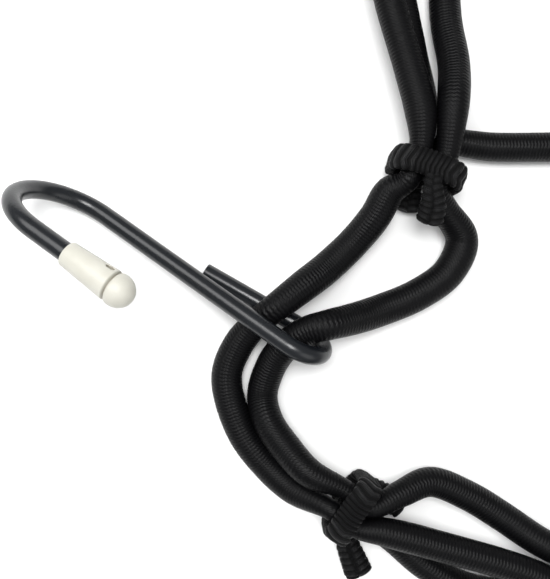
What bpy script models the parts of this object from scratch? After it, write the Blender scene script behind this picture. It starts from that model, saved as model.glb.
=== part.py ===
# A cargo net of elastic cord with coated wire hooks, lying slack on a flat surface.
# Drawing frame: X along the rows, Y along the columns, Z up, floor at Z = 0, sizes in
# millimetres until a mesh is made. The net is centred over the origin at the very end.

from collections import namedtuple
from math import atan2, ceil, cos, hypot, pi, radians, sin, sqrt, tau

import bmesh
import bpy
from mathutils import Vector

MM = 0.001

# Cord
CORD_R = 4.0
TAUT_R = 3.75           # mesh cord between ties
PRESSED_R = 2.8         # crossing cord squeezed inside a tie
BIGHT_R = 2.7           # mesh cord doubled back inside a tie
CORD_SIDES = 8
CORD_FIT = 0.12         # how much thinner a cord's solid is, so that it clears its neighbours
LYING = 0.975           # centre height of a cord that lies on a facet, for its radius
ROUTE_STEPS = 12        # readings of the smooth route for each span between its points
ROUTE_SLACK = 0.6       # how far a solid's straight runs may leave the smooth route

# Tie
TIE_DEPTH = 6.3
TIE_ARCH = 0.6          # how far the band's two ends lie ahead of its middle
TIE_WALL = 3.0
TIE_GROOVE = 0.6
TIE_TALL = 12.4         # height inside, cords over cords
TIE_LOW = 6.4           # height inside, one layer of cord
TIE_CORNER = 2.6
TIE_RIDGES = 11
# Section of the band: share of half its depth, and share of its wall
BAND_PROFILE = ((-1.0, 0.0), (-1.0, 0.55), (-0.62, 1.0), (0.62, 1.0), (1.0, 0.55), (1.0, 0.0))
TAIL_SIDES = 6
SLOT = 0.5              # border cord's middle in a tie, for half of the space inside
PRESSED = 0.42          # and its radius there
BIGHT_SLOT = 3.05       # half the spacing of a doubled-back cord's legs
TOP_Z = 12.0            # cord centre height, upper layer in a tie
UNDER_Z = 6.2           # cord centre height, lower layer in a tie
LOW_Z = 6.2             # cord centre height in a low tie
NEAR = 4.2              # where a cord leaves a tie, from its middle
BIGHT_MIDDLE = 2.85     # middle of a doubled-back cord's turn, from the middle of its tie
BIGHT_STEPS = 4         # straight runs in that turn
HELD_END = 2.9          # where a cord that passes through a corner tie is cut off
HELD_SIDE = 1.5
CROSS_SIDE = 1.5        # how far two crossing cords lie beside a tie's middle line, inside it
CROSS_SPREAD = 4.6      # and where they leave it
CROSS_CLEAR = 10.0
CROSS_DROP = 1.0
CROSS_R = 3.3           # crossing cord's radius at CROSS_CLEAR

# Hook
WIRE_R = 2.38
WIRE_SIDES = 8
EYE_R = 7.48
MOUTH_R = 14.8
SHANK = 59.0
MOUTH_TURN = 180.8
EYE_TURN = 193.9
SHORT_ARM = 29.3
TIP_REACH = 29.6        # from the mouth bend to the end of the cap
HOOK_FOOT = Vector((2.74, -13.45, 16.36))
HOOK_YAW = 34.8
HOOK_PITCH = -13.1
HOOK_ROLL = -21.3
BEND_STEP = 28.0

# Cap on the hook's end: distance along the wire from the cap's mouth, and radius
CAP_LONG = 19.0
CAP_BORE = 11.0
CAP_FIT = 0.3
END_GAP = 0.4           # from the wire's end to the bottom of the cap's bore
CAP_SIDES = 8
CapRing = namedtuple("CapRing", "along radius")
CAP_RINGS = (
    CapRing(0.0, 3.05),
    CapRing(12.9, 3.85),
    CapRing(13.3, 3.3),
    CapRing(14.0, 3.95),
    CapRing(16.6, 3.7),
    CapRing(18.5, 2.1),
    CapRing(CAP_LONG, 0.8),
)

# Where the ties lie and which way the cords run through each, in degrees. legs is the
# side that a doubled-back mesh cord leaves by: -1 behind, 1 ahead, 0 where there is none.
# tails is the side that the tie's own ends leave by, and hand the side of the upper one:
# 1 left, -1 right. half is half of the space inside, from side to side.
Tie = namedtuple("Tie", "x y heading kind half legs tails hand")
TIES = {
    "00": Tie(18.8, -54.9, -35.0, "corner", 6.2, 1, 1, 1),
    "10": Tie(98.0, -77.0, -7.0, "border", 6.7, -1, 1, -1),
    "20": Tie(190.0, -72.0, 12.0, "border", 6.7, -1, 1, 1),
    "30": Tie(277.0, -59.0, 47.0, "bare", 6.7, 0, 1, -1),
    "31": Tie(287.0, 28.0, 98.0, "border", 6.7, -1, 1, 1),
    "32": Tie(280.0, 122.0, 84.0, "border", 6.7, -1, 1, -1),
    "33": Tie(281.0, 209.0, 137.0, "corner", 6.7, 1, -1, 1),
    "23": Tie(199.0, 215.0, 166.0, "border", 6.7, -1, 1, -1),
    "13": Tie(110.0, 222.0, 196.0, "border", 6.7, -1, 1, 1),
    "03": Tie(22.0, 211.0, 229.0, "bare", 6.7, 0, 1, -1),
    "02": Tie(30.0, 125.0, 276.0, "border", 6.7, 1, -1, 1),
    "01": Tie(38.5, 30.9, 250.3, "border", 6.9, -1, 1, 1),
    "11": Tie(126.0, 31.0, 41.0, "cross", 5.2, 0, 1, 1),
    "21": Tie(208.0, 20.0, 229.0, "cross", 5.2, 0, 1, 1),
    "12": Tie(116.0, 115.0, 224.0, "cross", 5.2, 0, 1, 1),
    "22": Tie(205.0, 121.0, 38.0, "cross", 5.2, 0, 1, 1),
}

Point = namedtuple("Point", "x y z r")

# Where a border cord lies outside a tie: how far out from the tie's middle and to the
# cord's side, and its height and radius there
Beside = namedtuple("Beside", "out side z r")
BESIDE_BARE_TIE = (Beside(12.0, 6.5, 4.2, 3.75),)
BESIDE_LEGS = (Beside(10.0, 4.7, TOP_Z, 3.5),)
BESIDE_HIGH_TAIL = (Beside(8.0, 7.8, 8.6, 3.3), Beside(12.0, 10.0, 4.8, 3.9))
BESIDE_TIE = (Beside(10.0, 6.0, 10.2, 3.6),)
# and the legs of a doubled-back mesh cord: towards the mesh, near the tie, and cut off
LEG_AWAY = Beside(10.8, 9.6, 3.7, 3.6)
LEG_NEAR = Beside(9.0, 3.35, 4.4, 3.3)
LEG_END = Beside(6.5, 3.35, 5.4, 3.0)

# A slack cord between two ties: share of the way, and share of its bow
Bow = namedtuple("Bow", "share lift")
BORDER_BOW = (Bow(0.32, 0.8), Bow(0.5, 1.0), Bow(0.7, 0.7))
MESH_BOW = (Bow(0.3, 0.8), Bow(0.52, 1.0), Bow(0.74, 0.7))

# The border, once round with the net on the left. bow is how far each cord leaves the
# straight line between its ties, and lean turns a hook on the floor, in degrees.
Span = namedtuple("Span", "start end hooked outer_bow inner_bow lean")
SPANS = (
    Span("01", "00", True, 0.0, 0.0, 0.0),
    Span("00", "10", False, 0.0, 0.0, 0.0),
    Span("10", "20", True, 0.0, 0.0, 5.0),
    Span("20", "30", False, 9.0, 10.0, 0.0),
    Span("30", "31", True, 0.0, 0.0, -1.0),
    Span("31", "32", False, 10.0, 8.0, 0.0),
    Span("32", "33", True, 0.0, 0.0, 4.0),
    Span("33", "23", False, 8.0, 11.0, 0.0),
    Span("23", "13", True, 0.0, 0.0, -4.0),
    Span("13", "03", False, 10.5, 9.0, 0.0),
    Span("03", "02", True, 0.0, 0.0, 3.0),
    Span("02", "01", False, 0.0, 0.0, 0.0),
)

# Both border cords through a hook's eye, at span 01 to 00
HOOKED_OUTER = (
    Point(13.6, 5.8, 6.1, 4.2),
    Point(7.0, 0.7, 8.6, 4.1),
    Point(-0.8, -5.3, 9.7, 3.65),
    Point(-4.7, -8.5, 7.0, 3.65),
    Point(-9.6, -14.4, 4.6, 4.0),
    Point(-12.6, -22.7, 3.9, 4.0),
)
HOOKED_INNER = (
    Point(19.7, -7.6, 8.2, 4.1),
    Point(13.1, -9.0, 11.3, 3.9),
    Point(7.8, -10.5, 10.7, 3.7),
    Point(3.2, -13.9, 8.9, 3.9),
    Point(-0.6, -18.9, 5.8, 4.0),
    Point(-3.3, -27.3, 4.1, 4.0),
)
EYE_MIDDLE = (1.5, -10.0)
EYE_WAY = -120.0        # the way that the two cords take past the eye, in degrees
EYE_OUT = 17.0          # how far the hook draws the border out
# The slack either side of it, next to the ties
LEAVING_01_OUTER = (
    Point(32.7, 26.9, 11.3, 2.95),
    Point(29.2, 25.0, 10.0, 3.9),
    Point(25.6, 18.7, 8.2, 4.1),
    Point(20.4, 12.3, 6.2, 4.1),
)
LEAVING_01_INNER = (
    Point(43.4, 20.4, 8.4, 3.45),
    Point(48.6, 13.0, 4.2, 4.2),
    Point(45.2, 4.6, 4.1, 4.2),
    Point(37.2, -1.3, 4.2, 4.2),
    Point(27.3, -5.4, 4.9, 4.2),
)
REACHING_00_OUTER = (
    Point(-9.2, -35.9, 3.9, 4.0),
    Point(-3.2, -44.5, 3.9, 4.0),
    Point(4.6, -51.4, 6.2, 3.8),
)
REACHING_00_INNER = (
    Point(-1.7, -34.0, 6.8, 4.0),
    Point(3.0, -40.6, 8.8, 4.0),
    Point(8.6, -46.0, 11.8, 3.7),
)
SPAN_00_OUTER = (
    Point(28.0, -61.0, 11.9, 3.6),
    Point(44.0, -65.2, 11.8, 3.8),
    Point(62.0, -70.4, 11.8, 3.7),
    Point(78.0, -76.6, 11.9, 3.5),
)
SPAN_00_INNER = (
    Point(31.9, -51.8, 9.7, 3.4),
    Point(39.8, -49.4, 7.0, 3.8),
    Point(50.0, -53.4, 5.4, 3.9),
    Point(58.6, -58.6, 5.6, 3.9),
    Point(68.0, -64.6, 8.0, 3.8),
    Point(80.0, -69.6, 11.0, 3.5),
)
SPAN_02_OUTER = (
    Point(26.2, 108.0, 11.9, 3.7),
    Point(25.6, 90.0, 11.9, 3.9),
    Point(28.7, 72.9, 11.9, 3.9),
    Point(33.3, 57.0, 11.9, 3.9),
    Point(36.5, 45.0, 12.1, 4.05),
)
SPAN_02_INNER = (
    Point(39.6, 107.0, 9.8, 3.7),
    Point(43.4, 90.0, 4.2, 4.0),
    Point(44.4, 70.0, 4.6, 4.1),
    Point(45.6, 57.0, 8.6, 4.1),
    Point(44.65, 46.0, 12.2, 4.05),
)

# The mesh cords from tie to tie, each with how far it bows to the left
Run = namedtuple("Run", "start end bow")
ROW_RUNS = (
    Run("31", "21", 4.0),
    Run("21", "11", -3.0),
    Run("11", "01", 0.0),
    Run("01", "02", 0.0),
    Run("02", "12", 3.0),
    Run("12", "22", -4.0),
    Run("22", "32", 3.0),
)
COLUMN_1_RUNS = (
    Run("00", "10", 0.0),
    Run("10", "11", -4.0),
    Run("11", "12", 3.0),
    Run("12", "13", -3.0),
)
COLUMN_2_RUNS = (
    Run("20", "21", 3.0),
    Run("21", "22", -5.0),
    Run("22", "23", 3.0),
    Run("23", "33", 0.0),
)
# Along the border the mesh cord lies on the floor, under the outer border cord
ALONG = {
    ("01", "02"): (
        Point(38.6, 48.0, 3.7, TAUT_R),
        Point(36.0, 61.0, 3.7, TAUT_R),
        Point(31.6, 84.0, 3.7, TAUT_R),
        Point(29.4, 106.0, 3.7, TAUT_R),
    ),
    ("00", "10"): (
        Point(31.2, -65.2, 3.7, TAUT_R),
        Point(39.2, -72.0, 3.7, TAUT_R),
        Point(50.0, -77.6, 3.7, TAUT_R),
        Point(64.0, -79.6, 3.7, TAUT_R),
        Point(80.0, -79.2, 3.7, TAUT_R),
    ),
    ("23", "33"): (
        Point(218.0, 216.5, 3.7, TAUT_R),
        Point(240.0, 221.0, 3.7, TAUT_R),
        Point(262.0, 220.0, 3.7, TAUT_R),
    ),
    ("11", "01"): (Point(100.0, 35.6, 3.7, TAUT_R), Point(56.0, 37.2, 3.7, TAUT_R)),
}
SPAN_33_OUTER = (
    Point(262.0, 221.0, 11.9, 3.8),
    Point(240.0, 224.0, 11.9, 3.8),
    Point(218.0, 219.5, 11.9, 3.7),
)
SPAN_33_INNER = (
    Point(262.0, 211.0, 9.0, 3.8),
    Point(242.0, 206.0, 3.9, 4.0),
    Point(221.0, 208.4, 8.0, 3.9),
)

# A tail of the tie's own braid, from its root in the band to its cut end. A height below
# zero is measured from the top of the tie.
TailRing = namedtuple("TailRing", "ahead left height wide thick")
HIGH_TAIL = (
    TailRing(2.4, 1.4, -1.5, 4.6, 2.4),
    TailRing(5.4, 2.1, -1.5, 5.2, 2.8),
    TailRing(9.5, 3.9, -3.1, 6.9, 4.2),
    TailRing(13.8, 4.6, -5.4, 7.4, 4.8),
)
LOW_TAIL = (
    TailRing(2.4, -2.6, 1.5, 4.6, 2.4),
    TailRing(5.5, -1.3, 2.5, 6.4, 4.4),
    TailRing(11.5, -0.1, 2.8, 8.0, 5.0),
)
CROSS_LOW_TAIL = (
    TailRing(2.0, -2.8, 1.3, 4.2, 2.2),
    TailRing(5.5, -3.7, 2.3, 4.8, 3.8),
    TailRing(11.0, -2.8, 2.5, 5.4, 4.4),
)
BARE_TAILS = (
    (TailRing(2.0, 3.4, -1.5, 4.4, 2.4), TailRing(6.0, 3.9, -0.2, 5.6, 3.8),
     TailRing(12.5, 5.6, -1.6, 6.2, 4.6)),
    (TailRing(2.0, -3.0, -1.5, 4.4, 2.4), TailRing(5.5, -3.4, -0.4, 5.2, 3.6),
     TailRing(11.0, -4.6, -1.4, 6.0, 4.4)),
)
CORNER_TAILS = (
    (TailRing(2.0, 6.2, 1.5, 4.6, 2.4), TailRing(5.4, 6.4, 2.6, 6.2, 4.4),
     TailRing(13.6, 6.8, 2.7, 7.8, 4.8)),
    (TailRing(2.4, -6.6, 1.6, 4.8, 2.6), TailRing(6.4, -9.2, 3.2, 6.4, 5.2),
     TailRing(14.2, -14.4, 3.2, 8.2, 6.0)),
)

Finish = namedtuple("Finish", "colour roughness")
CORD_FINISH = Finish((0.016, 0.016, 0.018), 0.62)
TIE_FINISH = Finish((0.012, 0.012, 0.013), 0.7)
WIRE_FINISH = Finish((0.05, 0.055, 0.06), 0.35)
CAP_FINISH = Finish((0.86, 0.85, 0.76), 0.4)


def local(tie, ahead, left, z, r):
    turn = radians(tie.heading)
    x = tie.x + ahead * cos(turn) - left * sin(turn)
    y = tie.y + ahead * sin(turn) + left * cos(turn)
    return Point(x, y, z, r)


# Smooth routes

def smooth(points, closed):
    count = len(points)
    spans = count if closed else count - 1
    route = []
    for i in range(spans):
        if closed:
            four = [points[(i + k) % count] for k in (-1, 0, 1, 2)]
        else:
            four = [points[min(max(i + k, 0), count - 1)] for k in (-1, 0, 1, 2)]
        route += catmull_rom(four)
    if not closed:
        route.append(tuple(points[-1]))
    return route


def catmull_rom(four):
    # Centripetal, so that unevenly spaced points make no loop
    times = [0.0]
    for a, b in zip(four, four[1:]):
        times.append(times[-1] + max(sqrt(sum((p - q) ** 2 for p, q in zip(a, b))), 1e-6) ** 0.5)
    readings = []
    for step in range(ROUTE_STEPS):
        t = times[1] + (times[2] - times[1]) * step / ROUTE_STEPS
        level = [tuple(p) for p in four]
        for width in (1, 2, 3):
            reach = 2 if width == 3 else width
            level = blend(level, times, t, width, reach)
        readings.append(level[0])
    return readings


def blend(level, times, t, width, reach):
    mixed = []
    for i in range(len(level) - 1):
        low = times[1] if width == 3 else times[i]
        high = times[2] if width == 3 else times[i + reach]
        share = (t - low) / (high - low)
        mixed.append(tuple(a + (b - a) * share for a, b in zip(level[i], level[i + 1])))
    return mixed


def thin_out(route, slack):
    first, last = Vector(route[0]), Vector(route[-1])
    run = last - first
    worst, where = 0.0, 0
    for i in range(1, len(route) - 1):
        along = (Vector(route[i]) - first).dot(run) / max(run.length_squared, 1e-9)
        off = (Vector(route[i]) - first - run * min(max(along, 0.0), 1.0)).length
        if off > worst:
            worst, where = off, i
    if worst <= slack:
        return [route[0], route[-1]]
    return thin_out(route[:where + 1], slack)[:-1] + thin_out(route[where:], slack)


def solid_route(points, closed):
    route = smooth(points, closed)
    if not closed:
        return thin_out(route, ROUTE_SLACK)
    half = len(route) // 2
    there = thin_out(route[:half + 1], ROUTE_SLACK)
    back = thin_out(route[half:] + route[:1], ROUTE_SLACK)
    return there[:-1] + back[:-1]


# Meshes

def material(name, finish):
    made = bpy.data.materials.new(name)
    made.use_nodes = True
    shader = made.node_tree.nodes["Principled BSDF"]
    shader.inputs["Base Color"].default_value = (*finish.colour, 1.0)
    shader.inputs["Roughness"].default_value = finish.roughness
    return made


def new_object(name, mesh_data, finish):
    mesh = bpy.data.meshes.new(name)
    bmesh.ops.recalc_face_normals(mesh_data, faces=mesh_data.faces)
    mesh_data.to_mesh(mesh)
    mesh_data.free()
    mesh.materials.append(finish)
    mesh.shade_smooth()
    mesh.set_sharp_from_angle(angle=radians(50))
    made = bpy.data.objects.new(name, mesh)
    bpy.context.scene.collection.objects.link(made)
    return made


def skin(rings, closed):
    # rings: lists of points in millimetres, joined one to the next
    shape = bmesh.new()
    loops = [[shape.verts.new(Vector(p) * MM) for p in ring] for ring in rings]
    pairs = list(zip(loops, loops[1:]))
    if closed:
        pairs.append((loops[-1], loops[0]))
    for a, b in pairs:
        for i in range(len(a)):
            j = (i + 1) % len(a)
            shape.faces.new((a[i], a[j], b[j], b[i]))
    if not closed:
        shape.faces.new(loops[0])
        shape.faces.new(loops[-1])
    return shape


def even_section(centre, side, up, half_w, half_h, sides):
    # A flat facet faces down, and the section has the area of the round one
    fuller = sqrt(tau / (sides * sin(tau / sides)))
    ring = []
    for i in range(sides):
        turn = tau * (i + 0.5) / sides
        across = side * (sin(turn) * half_w * fuller)
        ring.append(centre + across + up * (cos(turn) * half_h * fuller))
    return ring


def bends(centres, closed):
    count = len(centres)
    ways = []
    for i in range(count):
        before = centres[i - 1] if closed or i else centres[i]
        after = centres[(i + 1) % count] if closed or i < count - 1 else centres[i]
        arriving = (centres[i] - before).normalized()
        leaving = (after - centres[i]).normalized()
        ways.append((arriving + leaving).normalized())
    return ways


def cord(name, points, closed, finish):
    route = [Point(*place) for place in solid_route(points, closed)]
    centres = [Vector((p.x, p.y, max(p.z, p.r * LYING))) for p in route]
    rings = []
    for place, way, point in zip(centres, bends(centres, closed), route):
        side = way.cross(Vector((0, 0, 1))).normalized()
        half = point.r - CORD_FIT
        rings.append(even_section(place, side, side.cross(way), half, half, CORD_SIDES))
    return new_object(name, skin(rings, closed), finish)


# Ties

def tie_height(tie):
    return TIE_LOW if tie.kind == "bare" else TIE_TALL


def rounded_outline(half_w, low, high, corner, count):
    # Even places round the space inside a tie, each with its outward direction
    wide, tall = 2 * (half_w - corner), high - low - 2 * corner
    arc = corner * pi / 2
    around = 2 * wide + 2 * tall + 4 * arc
    sides = (
        (wide, (-half_w + corner, low), (1, 0), 270.0),
        (tall, (half_w, low + corner), (0, 1), 0.0),
        (wide, (half_w - corner, high), (-1, 0), 90.0),
        (tall, (-half_w, high - corner), (0, -1), 180.0),
    )
    places = []
    for step in range(count):
        far = around * (step + 0.5) / count
        for length, start, way, facing in sides:
            if far <= length:
                across = start[0] + way[0] * far
                height = start[1] + way[1] * far
                places.append((across, height, radians(facing)))
                break
            far -= length
            if far <= arc:
                turn = radians(facing) + far / corner
                middle_x = start[0] + way[0] * length - corner * cos(radians(facing))
                middle_z = start[1] + way[1] * length - corner * sin(radians(facing))
                across = middle_x + corner * cos(turn)
                height = middle_z + corner * sin(turn)
                places.append((across, height, turn))
                break
            far -= arc
    return places


def band(tie):
    half_w = tie.half
    top = TIE_WALL + tie_height(tie)
    half_d = TIE_DEPTH / 2
    rings = []
    places = rounded_outline(half_w, TIE_WALL, top, TIE_CORNER, 2 * TIE_RIDGES)
    for i, (across, height, facing) in enumerate(places):
        under = sin(facing) < -0.9
        out = TIE_WALL if i % 2 or under else TIE_WALL - TIE_GROOVE
        ring = []
        for depth, lift in BAND_PROFILE:
            off = out * lift
            left = across + off * cos(facing)
            z = max(height + off * sin(facing), 0.0)
            ahead = depth * half_d + tie.tails * TIE_ARCH * (left / (half_w + TIE_WALL)) ** 2
            ring.append(local(tie, ahead, left, z, 0.0)[:3])
        rings.append(ring)
    return skin(rings, True)


def tail(tie, rows, hand, top):
    rows = [row._replace(ahead=row.ahead * tie.tails, left=row.left * hand) for row in rows]
    up = Vector((0, 0, 1))
    centres = []
    for row in rows:
        z = row.height if row.height > 0 else top + row.height
        centres.append(Vector(local(tie, row.ahead, row.left, z, 0.0)[:3]))
    rings = []
    for place, way, row in zip(centres, bends(centres, False), rows):
        across = Vector((way.x, way.y, 0.0)).normalized().cross(up)
        rings.append(even_section(place, across, up, row.wide / 2, row.thick / 2, TAIL_SIDES))
    return skin(rings, False)


def tie_tails(key, tie):
    top = TIE_WALL * 2 + tie_height(tie)
    if key == "00":
        return [tail(tie, rows, 1, top) for rows in CORNER_TAILS]
    if tie.kind == "bare":
        return [tail(tie, rows, tie.hand, top) for rows in BARE_TAILS]
    low = CROSS_LOW_TAIL if tie.kind == "cross" else LOW_TAIL
    return [tail(tie, HIGH_TAIL, tie.hand, top), tail(tie, low, tie.hand, top)]


def make_tie(key, tie, finish):
    made = new_object("tie_" + key, band(tie), finish)
    for number, shape in enumerate(tie_tails(key, tie)):
        helper = new_object(f"tie_{key}_tail_{number}", shape, finish)
        helper.hide_render = True
        helper.display_type = "WIRE"
        joined = made.modifiers.new(f"tail_{number}", "BOOLEAN")
        joined.operation = "UNION"
        joined.object = helper
    return made


# Border cords

# Which side of a tie has its cords' way written out by hand above
BY_HAND = {("01", -1), ("01", 1), ("00", -1), ("00", 1), ("10", -1), ("02", 1)}


def beside_tie(key, tie, way, side):
    # The border cord from the tie's face outwards, on the side that way gives
    if (key, way) in BY_HAND:
        places = ()
    elif tie.kind == "bare":
        places = BESIDE_BARE_TIE
    elif way == tie.legs:
        places = BESIDE_LEGS
    elif way == tie.tails and side == tie.hand:
        places = BESIDE_HIGH_TAIL
    else:
        places = BESIDE_TIE
    return [local(tie, way * p.out, side * p.side, p.z, p.r) for p in places]


def through_tie(key, side):
    tie = TIES[key]
    z = LOW_Z if tie.kind == "bare" else TOP_Z
    slot, r = side * SLOT * tie.half, PRESSED * tie.half
    inside = [local(tie, ahead, slot, z, r) for ahead in (-NEAR, 0.0, NEAR)]
    return beside_tie(key, tie, -1, side)[::-1] + inside + beside_tie(key, tie, 1, side)


def span_frame(span):
    # Way and left-hand direction from tie to tie, and the middle between them
    start, end = TIES[span.start], TIES[span.end]
    way = Vector((end.x - start.x, end.y - start.y))
    middle = Vector((end.x + start.x, end.y + start.y)) / 2
    return way, Vector((-way.y, way.x)).normalized(), middle


def hook_pose(span):
    # How the first span's hook moves to this span: its turn and its old and new place
    if span is SPANS[0]:
        return 0.0, Vector(EYE_MIDDLE), Vector(EYE_MIDDLE)
    way, left, middle = span_frame(span)
    turn = atan2(way.y, way.x) - radians(EYE_WAY - span.lean)
    return turn, Vector(EYE_MIDDLE), middle - left * EYE_OUT


def moved(point, pose):
    turn, old, new = pose
    x, y = point[0] - old.x, point[1] - old.y
    new_x = x * cos(turn) - y * sin(turn) + new.x
    new_y = x * sin(turn) + y * cos(turn) + new.y
    return (new_x, new_y, *point[2:])


def bowed(span, bow, shape, r):
    # A slack cord on the floor from tie to tie
    way, left, _ = span_frame(span)
    start = Vector((TIES[span.start].x, TIES[span.start].y))
    places = [start + way * row.share + left * (bow * row.lift) for row in shape]
    return [Point(place.x, place.y, r * LYING, r) for place in places]


def span_points(span, side):
    through_eye = HOOKED_INNER if side > 0 else HOOKED_OUTER
    if span is SPANS[0]:
        before = LEAVING_01_INNER if side > 0 else LEAVING_01_OUTER
        after = REACHING_00_INNER if side > 0 else REACHING_00_OUTER
        return [*before, *through_eye, *after]
    if span.hooked:
        return [Point(*moved(p, hook_pose(span))) for p in through_eye]
    written = {
        "00": (SPAN_00_OUTER, SPAN_00_INNER),
        "02": (SPAN_02_OUTER, SPAN_02_INNER),
        "33": (SPAN_33_OUTER, SPAN_33_INNER),
    }
    if span.start in written:
        return list(written[span.start][side > 0])
    return bowed(span, span.inner_bow if side > 0 else -span.outer_bow, BORDER_BOW, CORD_R)


def border_points(side):
    points = []
    for span in SPANS:
        points += through_tie(span.start, side)
        points += span_points(span, side)
    return points


# Mesh cords

def doubled_back(tie, first_side, cut_off=False):
    # Into the tie, round inside it and out again by the same side. The left leg goes to
    # the mesh, and the right one along the border or to a cut end.
    legs = tie.legs
    to_mesh = [local(tie, legs * leg.out, leg.side, leg.z, leg.r) for leg in (LEG_AWAY, LEG_NEAR)]
    leg = LEG_END if cut_off else LEG_NEAR
    other = local(tie, legs * leg.out, -leg.side, leg.z, leg.r)
    turn = [local(tie, legs * NEAR, BIGHT_SLOT, UNDER_Z, BIGHT_R)]
    for step in range(BIGHT_STEPS + 1):
        angle = pi * step / BIGHT_STEPS
        ahead = legs * (BIGHT_MIDDLE - BIGHT_SLOT * sin(angle))
        turn.append(local(tie, ahead, BIGHT_SLOT * cos(angle), UNDER_Z, BIGHT_R))
    turn.append(local(tie, legs * NEAR, -BIGHT_SLOT, UNDER_Z, BIGHT_R))
    points = [*to_mesh, *turn, other]
    return points if first_side > 0 else points[::-1]


def crossing(tie, is_row, came_from):
    side = 1 if is_row else -1
    z = TOP_Z if is_row else UNDER_Z
    points = [
        local(tie, -CROSS_CLEAR, side * CROSS_SPREAD, z - CROSS_DROP, CROSS_R),
        local(tie, -NEAR, side * CROSS_SIDE, z, PRESSED_R),
        local(tie, NEAR, -side * CROSS_SIDE, z, PRESSED_R),
        local(tie, CROSS_CLEAR, -side * CROSS_SPREAD, z - CROSS_DROP, CROSS_R),
    ]
    reach = [hypot(p.x - came_from.x, p.y - came_from.y) for p in (points[0], points[-1])]
    return points if reach[0] < reach[1] else points[::-1]


def run_points(run):
    if (run.start, run.end) in ALONG:
        return list(ALONG[run.start, run.end])
    return bowed(run, run.bow, MESH_BOW, TAUT_R)


def mesh_cord_points(start, runs, is_row, sides):
    # sides: for each tie that doubles the cord back, the side by which it enters
    points = list(start)
    for run in runs:
        points += run_points(run)
        tie = TIES[run.end]
        if tie.kind == "cross":
            points += crossing(tie, is_row, TIES[run.start])
        elif tie.kind == "corner":
            points += held_end(tie)[::-1]
        else:
            points += doubled_back(tie, sides[run.end], run is runs[-1])
    return points


def held_end(tie):
    # A cut end that just passes through a corner tie
    return [
        local(tie, -HELD_END * tie.legs, -HELD_SIDE, UNDER_Z, BIGHT_R),
        local(tie, NEAR * tie.legs, -HELD_SIDE, UNDER_Z, BIGHT_R),
    ]


def row_cord_points():
    start = doubled_back(TIES["31"], 1, True)[::-1]
    return mesh_cord_points(start, ROW_RUNS, True, {"01": 1, "02": -1, "32": 1})


def column_cord_points(number):
    if number == 1:
        return mesh_cord_points(held_end(TIES["00"]), COLUMN_1_RUNS, False, {"10": -1, "13": 1})
    start = doubled_back(TIES["20"], 1, True)[::-1]
    return mesh_cord_points(start, COLUMN_2_RUNS, False, {"23": 1})


# Hooks

def hook_axes():
    yaw, pitch, roll = radians(HOOK_YAW), radians(HOOK_PITCH), radians(HOOK_ROLL)
    along = Vector((-cos(pitch) * cos(yaw), cos(pitch) * sin(yaw), sin(pitch)))
    rise = (Vector((0, 0, 1)) - along * along.z).normalized()
    rise = rise * cos(roll) + along.cross(rise) * sin(roll)
    return along, rise


def bend(middle, radius, start, turn):
    # An even arc in the hook's own plane, from the start angle on, in degrees
    steps = ceil(turn / BEND_STEP)
    angles = [radians(start + turn * i / steps) for i in range(steps + 1)]
    return [(middle[0] + radius * cos(a), middle[1] + radius * sin(a)) for a in angles]


def wire_route():
    # In the hook's own plane: (along the shank, towards the mouth), short arm at the start
    eye = bend((0.0, -EYE_R), EYE_R, 90.0, EYE_TURN)
    arm_way = (-cos(radians(EYE_TURN)), -sin(radians(EYE_TURN)))
    arm_end = (eye[-1][0] + arm_way[0] * SHORT_ARM, eye[-1][1] + arm_way[1] * SHORT_ARM)
    mouth = bend((SHANK, MOUTH_R), MOUTH_R, -90.0, MOUTH_TURN)
    tip_way = (cos(radians(MOUTH_TURN)), sin(radians(MOUTH_TURN)))
    cap_mouth = TIP_REACH - CAP_LONG
    wire_end = cap_mouth + CAP_BORE - END_GAP
    tip = (mouth[-1][0] + tip_way[0] * wire_end, mouth[-1][1] + tip_way[1] * wire_end)
    cap = (mouth[-1][0] + tip_way[0] * cap_mouth, mouth[-1][1] + tip_way[1] * cap_mouth)
    return [arm_end, *eye[::-1], *mouth, tip], cap, tip_way


def in_space(flat, pose):
    along, rise = hook_axes()
    return Vector(moved(HOOK_FOOT + along * flat[0] + rise * flat[1], pose))


def plane_normal(pose):
    foot = in_space((0, 0), pose)
    along = in_space((1, 0), pose) - foot
    rise = in_space((0, 1), pose) - foot
    return along.cross(rise).normalized()


def make_wire(name, pose, finish):
    across = plane_normal(pose)
    centres = [in_space(flat, pose) for flat in wire_route()[0]]
    rings = []
    for place, way in zip(centres, bends(centres, False)):
        rings.append(even_section(place, across, across.cross(way), WIRE_R, WIRE_R, WIRE_SIDES))
    return new_object(name, skin(rings, False), finish)


def make_cap(name, pose, finish):
    _, mouth, way_flat = wire_route()
    start = in_space(mouth, pose)
    way = (in_space((mouth[0] + way_flat[0], mouth[1] + way_flat[1]), pose) - start).normalized()
    across = plane_normal(pose)
    up = across.cross(way)
    bore = WIRE_R + CAP_FIT
    outline = [CapRing(CAP_BORE, bore), CapRing(0.0, bore), *CAP_RINGS]
    rings = []
    for row in outline:
        middle = start + way * row.along
        rings.append(even_section(middle, across, up, row.radius, row.radius, CAP_SIDES))
    return new_object(name, skin(rings, False), finish)


def clear_scene():
    for thing in list(bpy.data.objects):
        bpy.data.objects.remove(thing)


def centre_over_origin(things):
    bpy.context.view_layer.update()
    corners = [corner for thing in things for corner in thing.bound_box]
    x = [corner[0] for corner in corners]
    y = [corner[1] for corner in corners]
    net = bpy.data.objects.new("net", None)
    net.location = (-(min(x) + max(x)) / 2, -(min(y) + max(y)) / 2, 0.0)
    bpy.context.scene.collection.objects.link(net)
    for thing in bpy.data.objects:
        if thing is not net:
            thing.parent = net
    print("net placed at", [round(v / MM, 3) for v in net.location])


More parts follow.
